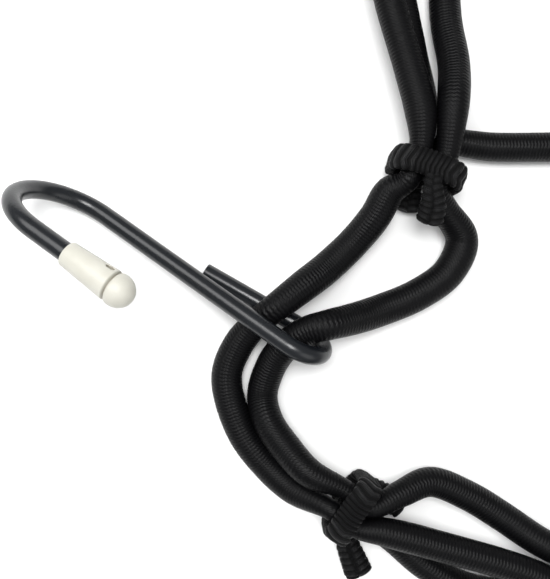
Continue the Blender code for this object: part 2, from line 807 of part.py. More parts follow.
def build():
    clear_scene()
    cord_finish = material("cord", CORD_FINISH)
    tie_finish = material("tie", TIE_FINISH)
    wire_finish = material("wire", WIRE_FINISH)
    cap_finish = material("cap", CAP_FINISH)
    made = [
        cord("border_outer", border_points(-1), True, cord_finish),
        cord("border_inner", border_points(1), True, cord_finish),
        cord("row_cord", row_cord_points(), False, cord_finish),
        cord("column_cord_1", column_cord_points(1), False, cord_finish),
        cord("column_cord_2", column_cord_points(2), False, cord_finish),
    ]
    for key, tie in TIES.items():
        made.append(make_tie(key, tie, tie_finish))
    hooked = [span for span in SPANS if span.hooked]
    for number, span in enumerate(hooked, 1):
        made.append(make_wire(f"hook_{number}", hook_pose(span), wire_finish))
        made.append(make_cap(f"cap_{number}", hook_pose(span), cap_finish))
    centre_over_origin(made)


build()
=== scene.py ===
from collections import namedtuple
from math import atan2, ceil, copysign, cos, hypot, pi, radians, sin, sqrt, tau
from random import Random

import bpy
import numpy as np
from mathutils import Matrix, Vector


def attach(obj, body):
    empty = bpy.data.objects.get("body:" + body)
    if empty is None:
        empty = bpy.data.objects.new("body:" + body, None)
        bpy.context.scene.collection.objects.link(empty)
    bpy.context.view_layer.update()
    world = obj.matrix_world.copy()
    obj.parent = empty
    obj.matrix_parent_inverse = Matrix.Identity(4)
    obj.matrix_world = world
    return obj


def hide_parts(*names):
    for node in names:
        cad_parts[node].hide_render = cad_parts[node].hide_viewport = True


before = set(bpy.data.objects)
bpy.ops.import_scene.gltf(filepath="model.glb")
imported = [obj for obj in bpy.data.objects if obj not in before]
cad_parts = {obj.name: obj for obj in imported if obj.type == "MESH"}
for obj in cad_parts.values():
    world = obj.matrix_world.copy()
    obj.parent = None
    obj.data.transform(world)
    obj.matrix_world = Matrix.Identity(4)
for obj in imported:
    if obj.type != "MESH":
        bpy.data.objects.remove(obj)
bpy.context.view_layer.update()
print("frame loaded")

# Drawing frame: millimetres, X along the rows, Y along the columns, Z up from the floor.
# The whole net is moved by netPlace when a mesh is made.
mm = 0.001
netPlace = Vector((-154.247, -72.332, 0.0))
sharpAngle = 50.0           # degrees between two faces, from which their edge is sharp
endPattern = 0.1            # place of the pattern on a cut end, for each ring before it


# Shader nodes

class Reading:
    # One socket of a material. Sums on it add Math nodes.
    def __init__(self, finish, socket):
        self.finish = finish
        self.socket = socket

    def __add__(self, other):
        return self.finish.maths("ADD", self, other)

    def __radd__(self, other):
        return self.finish.maths("ADD", other, self)

    def __sub__(self, other):
        return self.finish.maths("SUBTRACT", self, other)

    def __rsub__(self, other):
        return self.finish.maths("SUBTRACT", other, self)

    def __mul__(self, other):
        return self.finish.maths("MULTIPLY", self, other)

    def __rmul__(self, other):
        return self.finish.maths("MULTIPLY", other, self)


class Finish:
    # A Principled material and the nodes that feed it
    def __init__(self, name, looks):
        self.material = bpy.data.materials.new(name)
        self.material.use_nodes = True
        self.tree = self.material.node_tree
        self.shader = self.tree.nodes["Principled BSDF"]
        for socket, value in looks.items():
            self.shader.inputs[socket].default_value = value

    def add(self, kind, settings, *values, out=0, **named):
        # A node with its sockets fed, in order and by name
        node = self.tree.nodes.new(kind)
        for key, value in settings.items():
            setattr(node, key, value)
        for socket, value in [*enumerate(values), *named.items()]:
            self.feed(node.inputs[socket], value)
        return Reading(self, node.outputs[out])

    def feed(self, socket, value):
        if isinstance(value, Reading):
            self.tree.links.new(value.socket, socket)
        else:
            socket.default_value = value

    def uv(self, name):
        # Place on the surface: along the piece and around it
        place = self.add("ShaderNodeUVMap", {"uv_map": name})
        along = self.add("ShaderNodeSeparateXYZ", {}, place)
        return along, Reading(self, along.socket.node.outputs[1])

    def place(self):
        return self.add("ShaderNodeTexCoord", {}, out="Object")

    def noise(self, look, where):
        # The look is its scale, in spots to the metre, and its detail
        settings = {"noise_dimensions": "3D"}
        sockets = {"Vector": where, "Scale": look[0], "Detail": look[1]}
        return self.add("ShaderNodeTexNoise", settings, out="Fac", **sockets)

    def maths(self, operation, *values):
        return self.add("ShaderNodeMath", {"operation": operation}, *values)

    def wave(self, angle):
        # From 1 to 0 and back in each turn of the angle
        return self.maths("COSINE", angle) * 0.5 + 0.5

    def mixColours(self, share, first, second):
        # The colour sockets come after those of the other kinds
        node = self.tree.nodes.new("ShaderNodeMix")
        node.data_type = "RGBA"
        self.feed(node.inputs[0], share)
        self.feed(node.inputs[6], first)
        self.feed(node.inputs[7], second)
        return Reading(self, node.outputs[2])

    def relief(self, height, depth, strength=1.0):
        # The depth is in metres
        bump = self.add("ShaderNodeBump", {}, Strength=strength, Distance=depth, Height=height)
        self.feed(self.shader.inputs["Normal"], bump)

    def colour(self, reading):
        self.feed(self.shader.inputs["Base Color"], reading)

    def roughness(self, reading):
        self.feed(self.shader.inputs["Roughness"], reading)


# Meshes from rings of points

def makePiece(name, shells, finish, uvName, nodes):
    # A shell is (points, uvs, closed, capped): points as rings x sides x 3 in millimetres,
    # uvs a function of the ring's and the side's number, closed where the last ring joins
    # the first, and capped where both ends are filled
    corners, faces, mapped = [], [], []
    base = 0
    for points, uvs, closed, capped in shells:
        rings, sides = points.shape[:2]
        corners.append(points.reshape(-1, 3))
        i, j = np.meshgrid(np.arange(rings if closed else rings - 1), np.arange(sides), indexing="ij")
        nextI, nextJ = (i + 1) % rings, (j + 1) % sides
        this, following = i * sides, nextI * sides
        quads = np.stack([this + j, following + j, following + nextJ, this + nextJ], -1)
        faces += (quads.reshape(-1, 4) + base).tolist()
        grid = np.stack([uvs(i, j), uvs(i + 1, j), uvs(i + 1, j + 1), uvs(i, j + 1)], -2)
        mapped += grid.reshape(-1, 2).tolist()
        if capped:
            for ring, order in ((0, 1), (rings - 1, -1)):
                loop = (np.arange(sides) + ring * sides + base)[::order]
                faces.append(loop.tolist())
                mapped += [[ring * endPattern, 0.0]] * sides
        base += rings * sides
    mesh = bpy.data.meshes.new(name)
    places = (np.concatenate(corners) + np.array(netPlace)) * mm
    mesh.from_pydata(places.tolist(), [], faces)
    layer = mesh.uv_layers.new(name=uvName)
    layer.data.foreach_set("uv", np.array(mapped, np.float32).ravel())
    mesh.materials.append(finish)
    mesh.shade_smooth()
    mesh.set_sharp_from_angle(angle=radians(sharpAngle))
    piece = bpy.data.objects.new(name, mesh)
    bpy.context.scene.collection.objects.link(piece)
    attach(piece, "root")
    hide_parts(*nodes)


def frames(centres, closed):
    # Way, side and up along a route, with the side kept level
    arriving = centres - np.roll(centres, 1, 0)
    leaving = np.roll(centres, -1, 0) - centres
    if not closed:
        arriving[0], leaving[-1] = leaving[0], arriving[-1]
    arriving /= np.linalg.norm(arriving, axis=1, keepdims=True)
    leaving /= np.linalg.norm(leaving, axis=1, keepdims=True)
    way = arriving + leaving
    way /= np.linalg.norm(way, axis=1, keepdims=True)
    side = np.cross(way, (0.0, 0.0, 1.0))
    side /= np.linalg.norm(side, axis=1, keepdims=True)
    return way, side, np.cross(side, way)


def roundRings(centres, side, up, radii, sides):
    turn = tau * np.arange(sides) / sides
    out = side[:, None] * np.sin(turn)[None, :, None] + up[:, None] * np.cos(turn)[None, :, None]
    return centres[:, None] + out * radii[:, None, None]


# Cords

cordSizes = {
    "free": 4.0,            # radius of a border cord
    "taut": 3.75,           # between two ties of the mesh
    "pressed": 2.8,         # inside a tie
    "bight": 2.7,           # doubled back inside a tie
    "lying": 0.975,         # height of a route on the floor, for its radius
    "routeSteps": 12,       # readings between two points of a route
    "sides": 24,
    "ringStep": 0.9,
    "ribPitch": 0.87,
}
tieSizes = {
    "depth": 6.3,           # of the band, along the cords
    "wall": 3.0,
    "arch": 0.9,            # how far its two sides bend towards the tails
    "tall": 12.4,           # height of the space inside
    "low": 6.4,             # and in a tie that holds only the border cords
    "corner": 2.6,          # rounding of the space inside
    "offFloor": 0.02,
    "slot": 0.5,            # middle of a border cord, for half of the space inside
    "pressed": 0.42,        # and its radius there, for the same
    "bightSlot": 3.05,      # half the spacing of a doubled-back cord's legs
    "topZ": 12.0,           # middle of the cords in the upper layer
    "underZ": 6.2,          # in the lower layer
    "lowZ": 6.2,            # and in a low tie
    "near": 4.2,            # where a cord leaves the tie, from its middle
    "bightMiddle": 2.85,    # middle of a doubled-back cord's turn
    "bightSteps": 4,
    "heldEnd": 2.9,         # how far past the middle a held cord's cut end lies
    "heldSide": 1.5,
    "crossSide": 1.5,       # a crossing cord's way to the side, inside the tie
    "crossSpread": 4.6,     # and at crossClear
    "crossClear": 10.0,     # how far out a crossing cord comes down
    "crossDrop": 1.0,
    "crossRadius": 3.3,
}
taut = cordSizes["taut"]

# Where the ties lie and which way the cords run through each, in degrees. legs is the
# side that a doubled-back mesh cord leaves by: -1 behind, 1 ahead, 0 where there is none.
# tails is the side that the tie's own ends leave by, and hand the side of the upper one:
# 1 left, -1 right. half is half of the space inside, from side to side.
tiePlace = namedtuple("tiePlace", "x y heading kind half legs tails hand")
ties = {
    "00": tiePlace(18.8, -54.9, -35.0, "corner", 6.2, 1, 1, 1),
    "10": tiePlace(98.0, -77.0, -7.0, "border", 6.7, -1, 1, -1),
    "20": tiePlace(190.0, -72.0, 12.0, "border", 6.7, -1, 1, 1),
    "30": tiePlace(277.0, -59.0, 47.0, "bare", 6.7, 0, 1, -1),
    "31": tiePlace(287.0, 28.0, 98.0, "border", 6.7, -1, 1, 1),
    "32": tiePlace(280.0, 122.0, 84.0, "border", 6.7, -1, 1, -1),
    "33": tiePlace(281.0, 209.0, 137.0, "corner", 6.7, 1, -1, 1),
    "23": tiePlace(199.0, 215.0, 166.0, "border", 6.7, -1, 1, -1),
    "13": tiePlace(110.0, 222.0, 196.0, "border", 6.7, -1, 1, 1),
    "03": tiePlace(22.0, 211.0, 229.0, "bare", 6.7, 0, 1, -1),
    "02": tiePlace(30.0, 125.0, 276.0, "border", 6.7, 1, -1, 1),
    "01": tiePlace(38.5, 30.9, 250.3, "border", 6.9, -1, 1, 1),
    "11": tiePlace(126.0, 31.0, 41.0, "cross", 5.2, 0, 1, 1),
    "21": tiePlace(208.0, 20.0, 229.0, "cross", 5.2, 0, 1, 1),
    "12": tiePlace(116.0, 115.0, 224.0, "cross", 5.2, 0, 1, 1),
    "22": tiePlace(205.0, 121.0, 38.0, "cross", 5.2, 0, 1, 1),
}

cordPoint = namedtuple("cordPoint", "x y z r")

# Where a border cord lies outside a tie: how far out from the tie's middle and to the
# cord's side, and its height and radius there
besidePlace = namedtuple("besidePlace", "out side z r")
besideBareTie = (besidePlace(12.0, 6.5, 4.2, 3.75),)
besideLegs = (besidePlace(10.0, 4.7, tieSizes["topZ"], 3.5),)
besideHighTail = (besidePlace(8.0, 7.8, 8.6, 3.3), besidePlace(12.0, 10.0, 4.8, 3.9))
besidePlain = (besidePlace(10.0, 6.0, 10.2, 3.6),)
# and the legs of a doubled-back mesh cord: towards the mesh, near the tie, and cut off
legAway = besidePlace(10.8, 9.6, 3.7, 3.6)
legNear = besidePlace(9.0, 3.35, 4.4, 3.3)
legEnd = besidePlace(6.5, 3.35, 5.4, 3.0)

# A slack cord between two ties: share of the way, and share of its bow
bowShare = namedtuple("bowShare", "share lift")
borderBow = (bowShare(0.32, 0.8), bowShare(0.5, 1.0), bowShare(0.7, 0.7))
meshBow = (bowShare(0.3, 0.8), bowShare(0.52, 1.0), bowShare(0.74, 0.7))

# The border, once round with the net on the left. bow is how far each cord leaves the
# straight line between its ties, and lean turns a hook on the floor, in degrees.
borderSpan = namedtuple("borderSpan", "start end hooked outerBow innerBow lean")
spans = (
    borderSpan("01", "00", True, 0.0, 0.0, 0.0),
    borderSpan("00", "10", False, 0.0, 0.0, 0.0),
    borderSpan("10", "20", True, 0.0, 0.0, 5.0),
    borderSpan("20", "30", False, 9.0, 10.0, 0.0),
    borderSpan("30", "31", True, 0.0, 0.0, -1.0),
    borderSpan("31", "32", False, 10.0, 8.0, 0.0),
    borderSpan("32", "33", True, 0.0, 0.0, 4.0),
    borderSpan("33", "23", False, 8.0, 11.0, 0.0),
    borderSpan("23", "13", True, 0.0, 0.0, -4.0),
    borderSpan("13", "03", False, 10.5, 9.0, 0.0),
    borderSpan("03", "02", True, 0.0, 0.0, 3.0),
    borderSpan("02", "01", False, 0.0, 0.0, 0.0),
)

# Both border cords through a hook's eye, at span 01 to 00
hookedOuter = (
    cordPoint(13.6, 5.8, 6.1, 4.2),
    cordPoint(7.0, 0.7, 8.6, 4.1),
    cordPoint(-0.8, -5.3, 9.7, 3.65),
    cordPoint(-4.7, -8.5, 7.0, 3.65),
    cordPoint(-9.6, -14.4, 4.6, 4.0),
    cordPoint(-12.6, -22.7, 3.9, 4.0),
)
hookedInner = (
    cordPoint(19.7, -7.6, 8.2, 4.1),
    cordPoint(13.1, -9.0, 11.3, 3.9),
    cordPoint(7.8, -10.5, 10.7, 3.7),
    cordPoint(3.2, -13.9, 8.9, 3.9),
    cordPoint(-0.6, -18.9, 5.8, 4.0),
    cordPoint(-3.3, -27.3, 4.1, 4.0),
)
eyeMiddle = (1.5, -10.0)
eyeWay = -120.0        # the way that the two cords take past the eye, in degrees
eyeOut = 17.0          # how far the hook draws the border out
# The slack either side of it, next to the ties
leaving01Outer = (
    cordPoint(32.7, 26.9, 11.3, 2.95),
    cordPoint(29.2, 25.0, 10.0, 3.9),
    cordPoint(25.6, 18.7, 8.2, 4.1),
    cordPoint(20.4, 12.3, 6.2, 4.1),
)
leaving01Inner = (
    cordPoint(43.4, 20.4, 8.4, 3.45),
    cordPoint(48.6, 13.0, 4.2, 4.2),
    cordPoint(45.2, 4.6, 4.1, 4.2),
    cordPoint(37.2, -1.3, 4.2, 4.2),
    cordPoint(27.3, -5.4, 4.9, 4.2),
)
reaching00Outer = (
    cordPoint(-9.2, -35.9, 3.9, 4.0),
    cordPoint(-3.2, -44.5, 3.9, 4.0),
    cordPoint(4.6, -51.4, 6.2, 3.8),
)
reaching00Inner = (
    cordPoint(-1.7, -34.0, 6.8, 4.0),
    cordPoint(3.0, -40.6, 8.8, 4.0),
    cordPoint(8.6, -46.0, 11.8, 3.7),
)
span00Outer = (
    cordPoint(28.0, -61.0, 11.9, 3.6),
    cordPoint(44.0, -65.2, 11.8, 3.8),
    cordPoint(62.0, -70.4, 11.8, 3.7),
    cordPoint(78.0, -76.6, 11.9, 3.5),
)
span00Inner = (
    cordPoint(31.9, -51.8, 9.7, 3.4),
    cordPoint(39.8, -49.4, 7.0, 3.8),
    cordPoint(50.0, -53.4, 5.4, 3.9),
    cordPoint(58.6, -58.6, 5.6, 3.9),
    cordPoint(68.0, -64.6, 8.0, 3.8),
    cordPoint(80.0, -69.6, 11.0, 3.5),
)
span02Outer = (
    cordPoint(26.2, 108.0, 11.9, 3.7),
    cordPoint(25.6, 90.0, 11.9, 3.9),
    cordPoint(28.7, 72.9, 11.9, 3.9),
    cordPoint(33.3, 57.0, 11.9, 3.9),
    cordPoint(36.5, 45.0, 12.1, 4.05),
)
span02Inner = (
    cordPoint(39.6, 107.0, 9.8, 3.7),
    cordPoint(43.4, 90.0, 4.2, 4.0),
    cordPoint(44.4, 70.0, 4.6, 4.1),
    cordPoint(45.6, 57.0, 8.6, 4.1),
    cordPoint(44.65, 46.0, 12.2, 4.05),
)

# The mesh cords from tie to tie, each with how far it bows to the left
meshRun = namedtuple("meshRun", "start end bow")
rowRuns = (
    meshRun("31", "21", 4.0),
    meshRun("21", "11", -3.0),
    meshRun("11", "01", 0.0),
    meshRun("01", "02", 0.0),
    meshRun("02", "12", 3.0),
    meshRun("12", "22", -4.0),
    meshRun("22", "32", 3.0),
)
column1Runs = (
    meshRun("00", "10", 0.0),
    meshRun("10", "11", -4.0),
    meshRun("11", "12", 3.0),
    meshRun("12", "13", -3.0),
)
column2Runs = (
    meshRun("20", "21", 3.0),
    meshRun("21", "22", -5.0),
    meshRun("22", "23", 3.0),
    meshRun("23", "33", 0.0),
)
# Runs drawn point by point. Along the border the mesh cord lies on the floor, under the outer
# border cord or just outside it.
drawnRuns = {
    ("01", "02"): (
        cordPoint(38.6, 48.0, 3.7, taut),
        cordPoint(36.0, 61.0, 3.7, taut),
        cordPoint(31.6, 84.0, 3.7, taut),
        cordPoint(29.4, 106.0, 3.7, taut),
    ),
    ("00", "10"): (
        cordPoint(31.2, -65.2, 3.7, taut),
        cordPoint(39.2, -72.0, 3.7, taut),
        cordPoint(50.0, -77.6, 3.7, taut),
        cordPoint(64.0, -79.6, 3.7, taut),
        cordPoint(80.0, -79.2, 3.7, taut),
    ),
    ("23", "33"): (
        cordPoint(218.0, 216.5, 3.7, taut),
        cordPoint(240.0, 221.0, 3.7, taut),
        cordPoint(262.0, 220.0, 3.7, taut),
    ),
    ("11", "01"): (cordPoint(100.0, 35.6, 3.7, taut), cordPoint(56.0, 37.2, 3.7, taut)),
}
span33Outer = (
    cordPoint(262.0, 221.0, 11.9, 3.8),
    cordPoint(240.0, 224.0, 11.9, 3.8),
    cordPoint(218.0, 219.5, 11.9, 3.7),
)
span33Inner = (
    cordPoint(262.0, 211.0, 9.0, 3.8),
    cordPoint(242.0, 206.0, 3.9, 4.0),
    cordPoint(221.0, 208.4, 8.0, 3.9),
)

# A tail of the tie's own braid, from its root in the band to its cut end. A height below
# zero is measured from the top of the tie.
tailRing = namedtuple("tailRing", "ahead left height wide thick")
highTail = (
    tailRing(2.4, 1.4, -1.5, 4.6, 2.4),
    tailRing(5.4, 2.1, -1.5, 5.2, 2.8),
    tailRing(9.5, 3.9, -3.1, 6.9, 4.2),
    tailRing(13.8, 4.6, -5.4, 7.4, 4.8),
)
lowTail = (
    tailRing(2.4, -2.6, 1.5, 4.6, 2.4),
    tailRing(5.5, -1.3, 2.5, 6.4, 4.4),
    tailRing(11.5, -0.1, 2.8, 8.0, 5.0),
)
crossLowTail = (
    tailRing(2.0, -2.8, 1.3, 4.2, 2.2),
    tailRing(5.5, -3.7, 2.3, 4.8, 3.8),
    tailRing(11.0, -2.8, 2.5, 5.4, 4.4),
)
bareTails = (
    (tailRing(2.0, 3.4, -1.5, 4.4, 2.4), tailRing(6.0, 3.9, -0.2, 5.6, 3.8),
     tailRing(12.5, 5.6, -1.6, 6.2, 4.6)),
    (tailRing(2.0, -3.0, -1.5, 4.4, 2.4), tailRing(5.5, -3.4, -0.4, 5.2, 3.6),
     tailRing(11.0, -4.6, -1.4, 6.0, 4.4)),
)
cornerTails = (
    (tailRing(2.0, 6.2, 1.5, 4.6, 2.4), tailRing(5.4, 6.4, 2.6, 6.2, 4.4),
     tailRing(13.6, 6.8, 2.7, 7.8, 4.8)),
    (tailRing(2.4, -6.6, 1.6, 4.8, 2.6), tailRing(6.4, -9.2, 3.2, 6.4, 5.2),
     tailRing(14.2, -14.4, 3.2, 8.2, 6.0)),
)


def local(tie, ahead, left, z, r):
    # A place given from the tie's middle, ahead along its cords and to their left
    turn = radians(tie.heading)
    x = tie.x + ahead * cos(turn) - left * sin(turn)
    y = tie.y + ahead * sin(turn) + left * cos(turn)
    return cordPoint(x, y, z, r)


# Smooth routes

def smooth(points, closed):
    before, after = ([points[-1]], points[:2]) if closed else ([points[0]], [points[-1]])
    padded = [*before, *points, *after]
    route = []
    for i in range(len(padded) - 3):
        route += catmullRom(padded[i:i + 4])
    if not closed:
        route.append(tuple(points[-1]))
    return route


def catmullRom(four):
    # From the second point to the third. Centripetal, so that unevenly spaced points make
    # no loop.
    times = [0.0]
    for a, b in zip(four, four[1:]):
        times.append(times[-1] + max(sqrt(sum((p - q) ** 2 for p, q in zip(a, b))), 1e-6) ** 0.5)
    readings = []
    for step in range(cordSizes["routeSteps"]):
        t = times[1] + (times[2] - times[1]) * step / cordSizes["routeSteps"]
        three = blend(four, times[:3], times[1:], t)
        two = blend(three, times[:2], times[2:], t)
        readings += blend(two, times[1:2], times[2:3], t)
    return readings


def blend(points, starts, ends, t):
    # Between each point and the next, at time t on the way from start to end
    mixed = []
    for a, b, start, end in zip(points, points[1:], starts, ends):
        share = (t - start) / (end - start)
        mixed.append(tuple(p + (q - p) * share for p, q in zip(a, b)))
    return mixed


# Which side of a tie has its cords' way written out above
byHand = {("01", -1), ("01", 1), ("00", -1), ("00", 1), ("10", -1), ("02", 1)}


def besideTie(key, tie, way, side):
    # The border cord from the tie's face outwards, on the side that way gives
    if (key, way) in byHand:
        places = ()
    elif tie.kind == "bare":
        places = besideBareTie
    elif way == tie.legs:
        places = besideLegs
    elif way == tie.tails and side == tie.hand:
        places = besideHighTail
    else:
        places = besidePlain
    return [local(tie, way * p.out, side * p.side, p.z, p.r) for p in places]


def throughTie(key, side):
    tie = ties[key]
    z = tieSizes["lowZ"] if tie.kind == "bare" else tieSizes["topZ"]
    slot, r = side * tieSizes["slot"] * tie.half, tieSizes["pressed"] * tie.half
    inside = [local(tie, ahead, slot, z, r) for ahead in (-tieSizes["near"], 0.0, tieSizes["near"])]
    return besideTie(key, tie, -1, side)[::-1] + inside + besideTie(key, tie, 1, side)


def spanFrame(span):
    # Way and left-hand direction from tie to tie, and the middle between them
    start, end = ties[span.start], ties[span.end]
    way = Vector((end.x - start.x, end.y - start.y))
    middle = Vector((end.x + start.x, end.y + start.y)) / 2
    return way, Vector((-way.y, way.x)).normalized(), middle


def hookPose(span):
    # How the first span's hook moves to this span: its turn and its old and new place
    if span is spans[0]:
        return 0.0, Vector(eyeMiddle), Vector(eyeMiddle)
    way, left, middle = spanFrame(span)
    turn = atan2(way.y, way.x) - radians(eyeWay - span.lean)
    return turn, Vector(eyeMiddle), middle - left * eyeOut


def moved(point, pose):
    # Turned about the old place and taken to the new one
    turn, old, new = pose
    x, y = point[0] - old.x, point[1] - old.y
    newX = x * cos(turn) - y * sin(turn) + new.x
    newY = x * sin(turn) + y * cos(turn) + new.y
    return (newX, newY, *point[2:])


def bowed(span, bow, shape, r):
    # A slack cord on the floor from tie to tie
    way, left, _ = spanFrame(span)
    start = Vector((ties[span.start].x, ties[span.start].y))
    places = [start + way * row.share + left * (bow * row.lift) for row in shape]
    return [cordPoint(place.x, place.y, r * cordSizes["lying"], r) for place in places]


def spanPoints(span, side):
    throughEye = hookedInner if side > 0 else hookedOuter
    if span is spans[0]:
        before = leaving01Inner if side > 0 else leaving01Outer
        after = reaching00Inner if side > 0 else reaching00Outer
        return [*before, *throughEye, *after]
    if span.hooked:
        return [cordPoint(*moved(p, hookPose(span))) for p in throughEye]
    written = {
        "00": (span00Outer, span00Inner),
        "02": (span02Outer, span02Inner),
        "33": (span33Outer, span33Inner),
    }
    if span.start in written:
        return list(written[span.start][side > 0])
    return bowed(span, span.innerBow if side > 0 else -span.outerBow, borderBow, cordSizes["free"])


def borderPoints(side):
    points = []
    for span in spans:
        points += throughTie(span.start, side)
        points += spanPoints(span, side)
    return points


def doubledBack(tie, firstSide, cutOff=False):
    # Into the tie, round inside it and out again by the same side. The left leg goes to
    # the mesh, and the right one along the border or to a cut end.
    legs, slot, z = tie.legs, tieSizes["bightSlot"], tieSizes["underZ"]
    toMesh = [local(tie, legs * leg.out, leg.side, leg.z, leg.r) for leg in (legAway, legNear)]
    leg = legEnd if cutOff else legNear
    other = local(tie, legs * leg.out, -leg.side, leg.z, leg.r)
    turn = [local(tie, legs * tieSizes["near"], slot, z, cordSizes["bight"])]
    for step in range(tieSizes["bightSteps"] + 1):
        angle = pi * step / tieSizes["bightSteps"]
        ahead = legs * (tieSizes["bightMiddle"] - slot * sin(angle))
        turn.append(local(tie, ahead, slot * cos(angle), z, cordSizes["bight"]))
    turn.append(local(tie, legs * tieSizes["near"], -slot, z, cordSizes["bight"]))
    points = [*toMesh, *turn, other]
    return points if firstSide > 0 else points[::-1]


def crossing(tie, isRow, cameFrom):
    # Through a tie where two mesh cords cross, the row above the column
    side = 1 if isRow else -1
    z = tieSizes["topZ"] if isRow else tieSizes["underZ"]
    near, far = tieSizes["near"], tieSizes["crossClear"]
    slot, spread = side * tieSizes["crossSide"], side * tieSizes["crossSpread"]
    low, r = z - tieSizes["crossDrop"], tieSizes["crossRadius"]
    points = [
        local(tie, -far, spread, low, r),
        local(tie, -near, slot, z, cordSizes["pressed"]),
        local(tie, near, -slot, z, cordSizes["pressed"]),
        local(tie, far, -spread, low, r),
    ]
    reach = [hypot(p.x - cameFrom.x, p.y - cameFrom.y) for p in (points[0], points[-1])]
    return points if reach[0] < reach[1] else points[::-1]


def runPoints(run):
    if (run.start, run.end) in drawnRuns:
        return list(drawnRuns[run.start, run.end])
    return bowed(run, run.bow, meshBow, cordSizes["taut"])


def meshCordPoints(start, runs, isRow, sides):
    # sides: for each tie that doubles the cord back, the side by which it enters
    points = list(start)
    for run in runs:
        points += runPoints(run)
        tie = ties[run.end]
        if tie.kind == "cross":
            points += crossing(tie, isRow, ties[run.start])
        elif tie.kind == "corner":
            points += heldEnd(tie)[::-1]
        else:
            points += doubledBack(tie, sides[run.end], run is runs[-1])
    return points


def heldEnd(tie):
    # A cut end that just passes through a corner tie
    side, z, r = -tieSizes["heldSide"], tieSizes["underZ"], cordSizes["bight"]
    inside = local(tie, -tieSizes["heldEnd"] * tie.legs, side, z, r)
    return [inside, local(tie, tieSizes["near"] * tie.legs, side, z, r)]


def rowCordPoints():
    start = doubledBack(ties["31"], 1, True)[::-1]
    return meshCordPoints(start, rowRuns, True, {"01": 1, "02": -1, "32": 1})


def columnCordPoints(number):
    if number == 1:
        return meshCordPoints(heldEnd(ties["00"]), column1Runs, False, {"10": -1, "13": 1})
    start = doubledBack(ties["20"], 1, True)[::-1]
    return meshCordPoints(start, column2Runs, False, {"23": 1})


def wayAlong(route):
    steps = np.linalg.norm(np.diff(route[:, :3], axis=0), axis=1)
    return np.concatenate([[0.0], np.cumsum(steps)])


def evenRoute(points, closed, step):
    # The smooth route at even steps: rows of x, y, z, r and the distance along it
    route = np.array(smooth(points, closed))
    if closed:
        route = np.vstack([route, route[:1]])
    far = wayAlong(route)
    count = round(far[-1] / step)
    marks = np.linspace(0.0, far[-1], count if closed else count + 1, endpoint=not closed)
    even = np.stack([np.interp(marks, far, column) for column in route.T], 1)
    return even, marks, far[-1]


sheathLooks = {
    "dark": (0.0006, 0.0006, 0.0008, 1.0),
    "light": (0.0036, 0.0036, 0.0042, 1.0),
    "shine": 0.13,
    "drift": (160.0, 3.0),  # noises: where the ribs wander, fade and are worn
    "slack": (26.0, 1.0),
    "worn": (900.0, 4.0),
    "roughness": 0.34,
    "wornRoughness": 0.2,
    "relief": 0.0002,
    "strands": 14.0,        # round the cord
    "strandBend": 0.16,     # how far a strand bends the ribs, for a rib's pitch
    "driftBend": 0.5,       # and how far they wander
    "yarnsAlong": 2.0,      # for a rib's pitch
    "yarnsAround": 30.0,
    "yarnRelief": 0.15,     # for a rib's
    "wornRelief": 0.25,
    "ribPaintedShade": 0.8,        # shares in the way from dark to light; the ribs' share is painted shade, darker in the valleys between them
    "driftShade": 0.35,
    "wornShade": 0.25,
}


def sheathFinish():
    sheath = Finish("braided sheath", {"Specular IOR Level": sheathLooks["shine"]})
    along, around = sheath.uv("sheath")
    where = sheath.place()
    drift = sheath.noise(sheathLooks["drift"], where)
    slack = sheath.noise(sheathLooks["slack"], where)
    worn = sheath.noise(sheathLooks["worn"], where)
    # Ribs across the cord that fade in some stretches
    strands = sheath.wave(around * (tau * sheathLooks["strands"]))
    bends = strands * sheathLooks["strandBend"] + drift * sheathLooks["driftBend"]
    ribs = sheath.wave((along + bends) * tau) * slack
    yarns = along * sheathLooks["yarnsAlong"] + around * sheathLooks["yarnsAround"]
    yarn = sheath.wave(yarns * tau)
    fine = yarn * sheathLooks["yarnRelief"] + worn * sheathLooks["wornRelief"]
    sheath.relief(ribs + fine, sheathLooks["relief"])
    sheath.roughness(sheathLooks["roughness"] + worn * sheathLooks["wornRoughness"])
    # The ribs darken the colour in their valleys: painted shade. Drift and wear are the sheath's own
    # tone.
    shade = ribs * sheathLooks["ribPaintedShade"] + drift * sheathLooks["driftShade"]
    shade = shade + worn * sheathLooks["wornShade"]
    sheath.colour(sheath.mixColours(shade, sheathLooks["dark"], sheathLooks["light"]))
    return sheath.material


def makeCord(name, points, closed, node, finish):
    route, marks, length = evenRoute(points, closed, cordSizes["ringStep"])
    radii = route[:, 3]
    centres = route[:, :3].copy()
    # No part of it goes below the floor
    centres[:, 2] = np.maximum(centres[:, 2], radii)
    _, side, up = frames(centres, closed)
    sides = cordSizes["sides"]
    rings = roundRings(centres, side, up, radii, sides)
    ribs = round(length / cordSizes["ribPitch"])
    total = len(marks) if closed else len(marks) - 1

    def uvs(i, j):
        return np.stack([i * ribs / total, j / sides], -1)

    shells = [(rings, uvs, closed, not closed)]
    makePiece(name, shells, finish, "sheath", [node])


def makeCords():
    finish = sheathFinish()
    makeCord("outerBorderCord", borderPoints(-1), True, "border_outer", finish)
    makeCord("innerBorderCord", borderPoints(1), True, "border_inner", finish)
    makeCord("rowCord", rowCordPoints(), False, "row_cord", finish)
    makeCord("firstColumnCord", columnCordPoints(1), False, "column_cord_1", finish)
    makeCord("secondColumnCord", columnCordPoints(2), False, "column_cord_2", finish)
    print("cords made")


# Ties of coarse braid

